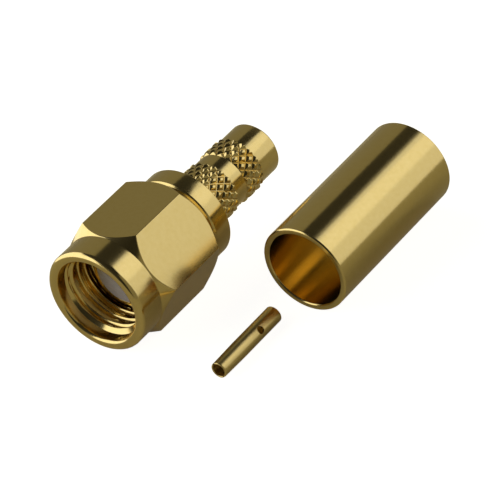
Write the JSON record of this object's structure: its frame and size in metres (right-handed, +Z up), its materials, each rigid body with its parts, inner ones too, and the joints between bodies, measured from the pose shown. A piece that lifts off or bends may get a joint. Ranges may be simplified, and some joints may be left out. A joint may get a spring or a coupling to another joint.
{
  "type": "coaxial crimp plug",
  "caption": "Gold-plated coaxial crimp plug with a threaded hexagonal coupling nut, a loose centre contact and a loose crimp sleeve.",
  "frame": {"origin": "on the plug's axis in its reference plane, the front end of the outer conductor and the front mouth of the contact's hole", "axes": "+Y along the plug's axis from the mating face towards the cable, +Z up, +X towards the loose contact and ferrule"},
  "size_m": [0.0191, 0.0222, 0.008],
  "materials": {
    "plated_nut": "polished, gold-plated",
    "plated_body": "polished, gold-plated",
    "spring_metal": "drawn, bare",
    "seal": "moulded",
    "insulation": "turned",
    "plated_contact": "satin, gold-plated",
    "plated_ferrule": "polished, gold-plated"
  },
  "bodies": {
    "plug": {"connector_body": "plated_body", "retaining_ring": "spring_metal", "gasket": "seal", "insulator": "insulation", "centre_contact": "plated_contact", "crimp_ferrule": "plated_ferrule"},
    "nut": {"coupling_nut": "plated_nut"}
  },
  "joints": [
    {"name": "nut_turn", "type": "hinge", "parent": "plug", "child": "nut", "pos_m": [0, 0, 0], "axis": [0, -1, 0], "continuous": true}
  ]
}
